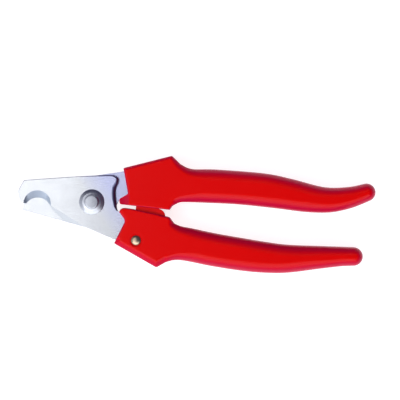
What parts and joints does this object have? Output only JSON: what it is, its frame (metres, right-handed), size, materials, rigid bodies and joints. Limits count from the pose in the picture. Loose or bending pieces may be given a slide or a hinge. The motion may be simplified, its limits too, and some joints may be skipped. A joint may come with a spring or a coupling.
{
  "type": "claw clipper",
  "caption": "Plier-type claw clipper: crossing notched steel blades on a pivot bolt, red moulded handles, lock lever and opening spring.",
  "frame": {"origin": "on the pivot axis, at the bolt's end face, level with the flat backs of the handles", "axes": "+X from the jaws to the handles, +Y from the lower handle to the upper one, +Z out of the front face, along the pivot axis"},
  "size_m": [0.1632, 0.0518, 0.0145],
  "materials": {
    "blade_steel": "finely ground stainless steel",
    "bolt_steel": "turned and polished",
    "spring_steel": "drawn wire and rolled strip",
    "handle_red": "glossy moulded plastic",
    "lever_red": "satin moulded plastic",
    "rivet_brass": "upset rivet head"
  },
  "bodies": {
    "lower_half": {"front_blade": "blade_steel", "lower_grip": "handle_red", "pivot_bolt": "bolt_steel", "pivot_washer": "bolt_steel", "pivot_spring_washer": "spring_steel", "pivot_nut": "bolt_steel", "lock_rivet": "rivet_brass", "lock_rivet_burr": "rivet_brass", "lock_friction_washer": "spring_steel", "opening_spring": "spring_steel"},
    "upper_half": {"rear_blade": "blade_steel", "upper_grip": "handle_red", "lock_catch_pin": "bolt_steel"},
    "lock": {"lock_lever": "lever_red"}
  },
  "joints": [
    {"name": "handle_pivot", "type": "hinge", "parent": "lower_half", "child": "upper_half", "pos_m": [0, 0, 0.007], "axis": [0, 0, 1], "range_deg": [0, 24], "deforming": ["opening_spring"]},
    {"name": "lock_swing", "type": "hinge", "parent": "lower_half", "child": "lock", "pos_m": [0.0225, -0.0148, 0.01135], "axis": [0, 0, 1], "range_deg": [0, 7]}
  ]
}
